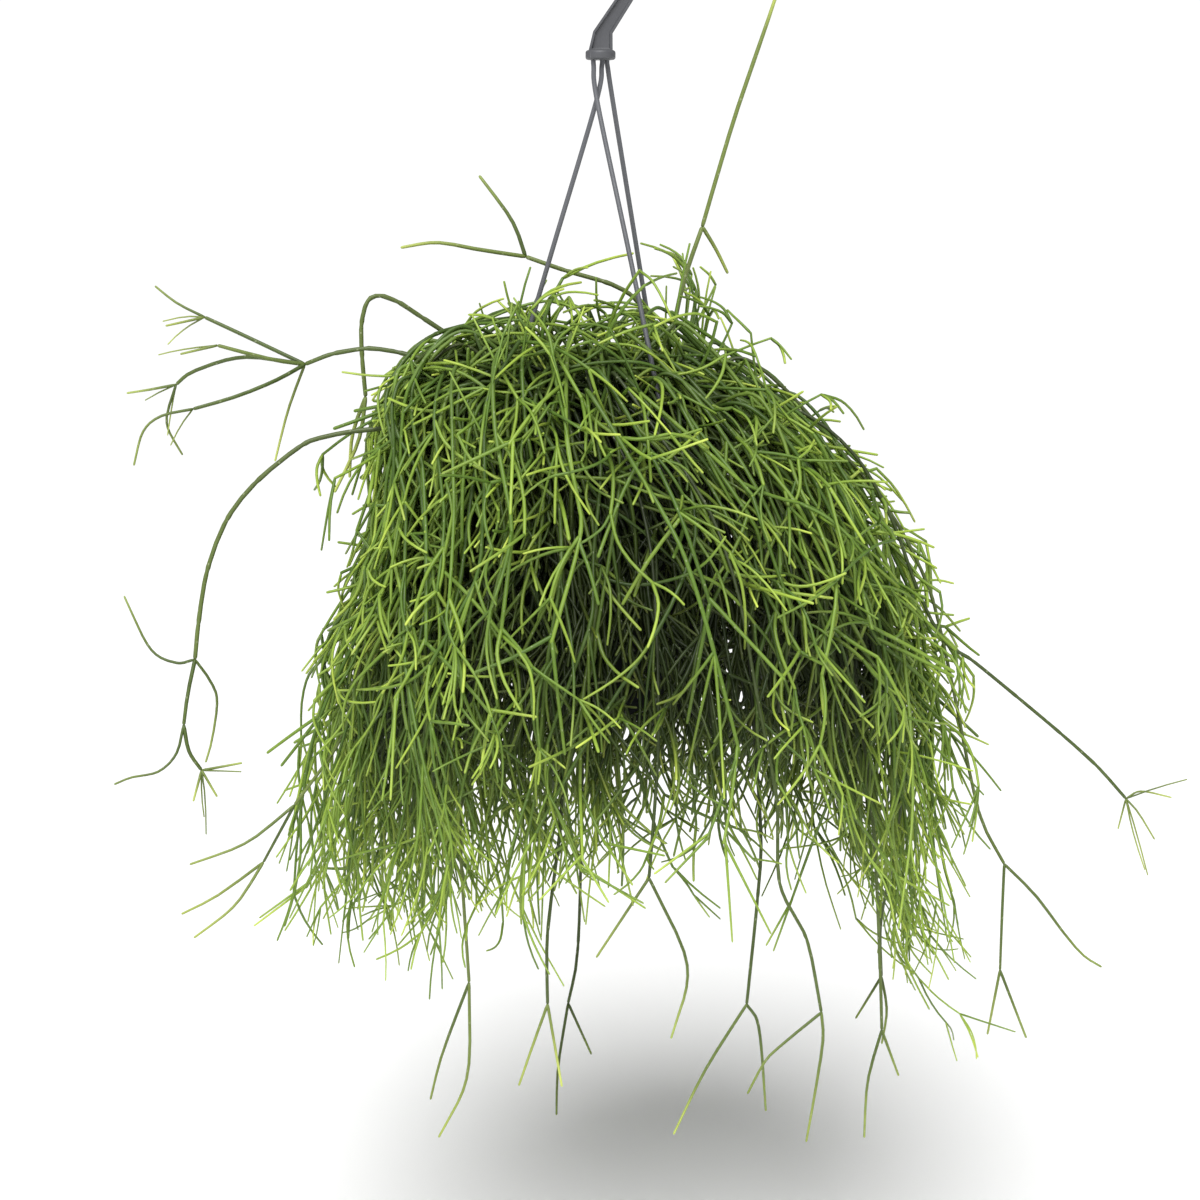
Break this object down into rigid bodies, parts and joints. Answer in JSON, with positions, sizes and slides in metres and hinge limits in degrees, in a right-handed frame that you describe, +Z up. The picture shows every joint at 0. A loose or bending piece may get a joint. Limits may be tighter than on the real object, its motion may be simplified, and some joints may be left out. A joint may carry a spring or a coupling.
{
  "type": "mistletoe cactus in a hanging pot",
  "caption": "Trailing leafless cactus whose thin forking green stems arch over and hide a dark hanging pot on a moulded plastic hook with strands.",
  "frame": {"origin": "the hook's seat, the spot inside the top of its bend that bears on the rod it hangs from", "axes": "+Z up, along the hanging direction; -Y is the front; +X is to the right as seen from the front"},
  "size_m": [0.6056, 0.4026, 0.7151],
  "materials": {
    "hook_plastic": "satin",
    "strand_plastic": "satin",
    "pot_plastic": "satin",
    "soil": "matte",
    "stem_skin": "satin",
    "shoot_skin": "satin"
  },
  "bodies": {
    "root": {"hook": "hook_plastic", "strand_left": "strand_plastic", "strand_front": "strand_plastic", "strand_back": "strand_plastic", "pot": "pot_plastic", "soil": "soil", "cutting_01": "stem_skin", "cutting_02": "stem_skin", "cutting_03": "stem_skin", "cutting_04": "stem_skin", "cutting_05": "stem_skin", "cutting_06": "stem_skin", "cutting_07": "stem_skin", "cutting_08": "stem_skin", "cutting_09": "stem_skin", "cutting_10": "stem_skin", "cutting_11": "stem_skin", "cutting_12": "stem_skin", "cutting_13": "stem_skin", "cutting_14": "stem_skin", "cutting_15": "stem_skin", "cutting_16": "stem_skin", "cutting_17": "stem_skin", "cutting_18": "stem_skin", "cutting_19": "stem_skin", "shoot_upright": "shoot_skin", "shoot_crown": "shoot_skin", "shoot_loop": "shoot_skin", "shoot_left_high": "shoot_skin", "shoot_left_low": "shoot_skin", "shoot_left_hem": "shoot_skin", "hanging_shoot_front_left": "shoot_skin", "hanging_shoot_front_01": "shoot_skin", "hanging_shoot_front_02": "shoot_skin", "hanging_shoot_front_03": "shoot_skin", "hanging_shoot_front_04": "shoot_skin", "hanging_shoot_right_01": "shoot_skin", "shoot_right_long": "shoot_skin", "shoot_right_hem": "shoot_skin", "hanging_shoot_right_02": "shoot_skin", "hanging_shoot_back": "shoot_skin"}
  },
  "joints": []
}
